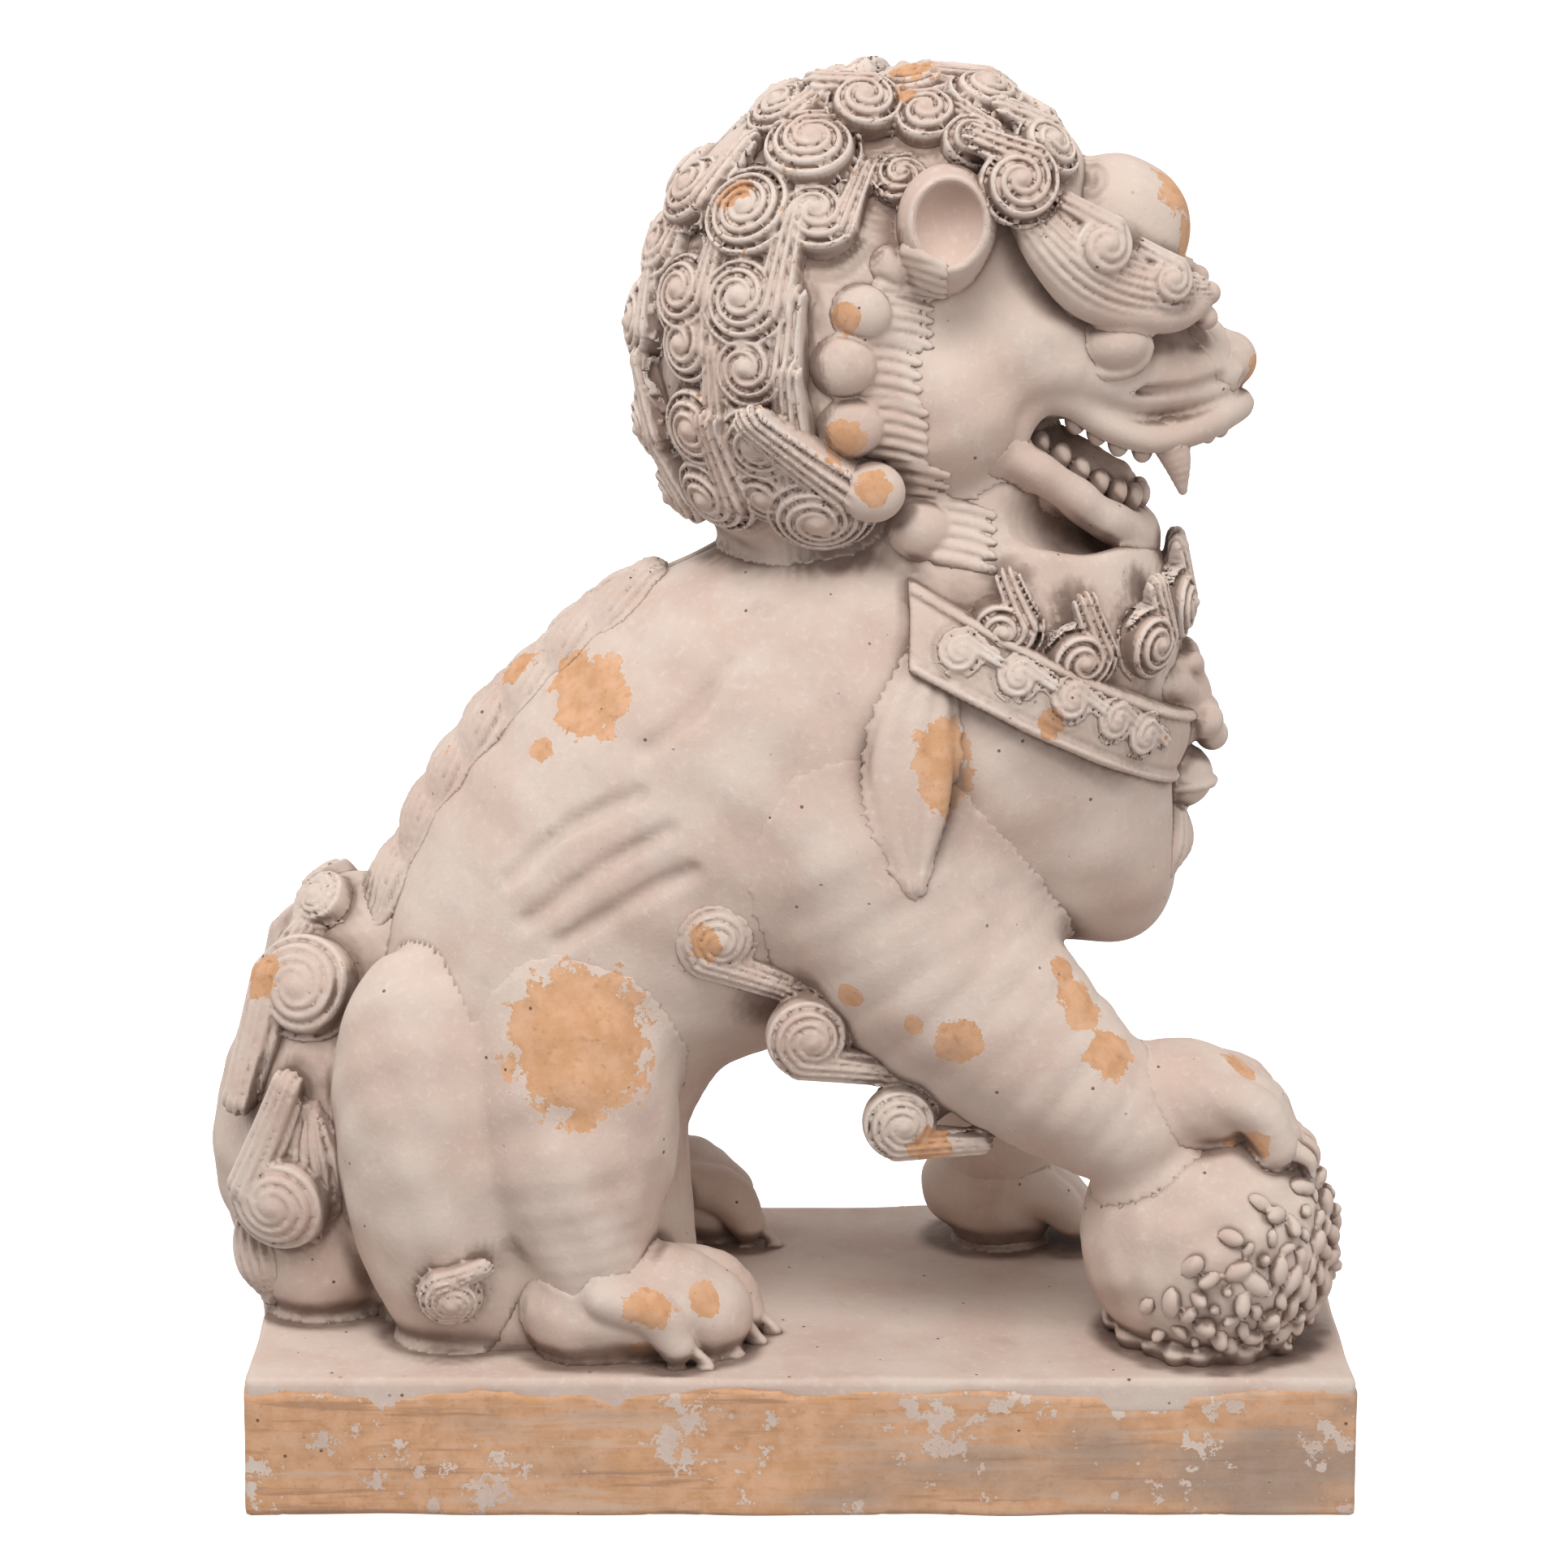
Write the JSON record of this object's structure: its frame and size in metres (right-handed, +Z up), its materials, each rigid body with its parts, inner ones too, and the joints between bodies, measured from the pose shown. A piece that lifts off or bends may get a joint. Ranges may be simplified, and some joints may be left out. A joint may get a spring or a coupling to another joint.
{
  "type": "guardian lion statue",
  "caption": "Seated terracotta guardian lion with curled mane, collar and bell, right forepaw on a ball, on a rectangular hollow plinth; worn whitewash finish.",
  "frame": {"origin": "centre of the plinth's rectangular underside, on the face it stands on", "axes": "+X the way the lion looks, +Y the lion's left, +Z up"},
  "size_m": [0.487, 0.22, 0.592],
  "materials": {
    "whitewashed_clay": "matt limewash over fired clay, worn and grimy",
    "bare_clay": "matt fired clay with flakes of limewash"
  },
  "bodies": {
    "root": {"back_mane_curls": "whitewashed_clay", "ball": "whitewashed_clay", "ball_sprigs": "whitewashed_clay", "beard_curls": "whitewashed_clay", "collar_band": "whitewashed_clay", "collar_bell": "whitewashed_clay", "collar_mask": "whitewashed_clay", "collar_scrolls": "whitewashed_clay", "collar_tassel": "whitewashed_clay", "crown_curls": "whitewashed_clay", "forehead_boss": "whitewashed_clay", "head_left_half": "whitewashed_clay", "head_right_half": "whitewashed_clay", "left_brow": "whitewashed_clay", "left_ear": "whitewashed_clay", "left_elbow_curls": "whitewashed_clay", "left_eye": "whitewashed_clay", "left_fore_claws": "whitewashed_clay", "left_foreleg": "whitewashed_clay", "left_forepaw": "whitewashed_clay", "left_haunch": "whitewashed_clay", "left_hind_foot": "whitewashed_clay", "left_hock_curl": "whitewashed_clay", "left_jaw_beads": "whitewashed_clay", "left_mane_curls": "whitewashed_clay", "left_shoulder_flap": "whitewashed_clay", "left_tail_curls": "whitewashed_clay", "lower_jaw": "whitewashed_clay", "lower_teeth": "whitewashed_clay", "nose": "whitewashed_clay", "plinth_cross_web": "bare_clay", "plinth_front_wall": "bare_clay", "plinth_left_wall": "bare_clay", "plinth_rear_wall": "bare_clay", "plinth_right_wall": "bare_clay", "plinth_top_slab": "whitewashed_clay", "right_brow": "whitewashed_clay", "right_ear": "whitewashed_clay", "right_elbow_curls": "whitewashed_clay", "right_eye": "whitewashed_clay", "right_fore_claws": "whitewashed_clay", "right_foreleg": "whitewashed_clay", "right_forepaw": "whitewashed_clay", "right_haunch": "whitewashed_clay", "right_hind_foot": "whitewashed_clay", "right_hock_curl": "whitewashed_clay", "right_jaw_beads": "whitewashed_clay", "right_mane_curls": "whitewashed_clay", "right_shoulder_flap": "whitewashed_clay", "right_tail_curls": "whitewashed_clay", "spine_locks": "whitewashed_clay", "tail_core": "whitewashed_clay", "temple_curls": "whitewashed_clay", "tongue": "whitewashed_clay", "torso_left_half": "whitewashed_clay", "torso_right_half": "whitewashed_clay", "upper_fangs": "whitewashed_clay", "upper_teeth": "whitewashed_clay"}
  },
  "joints": []
}
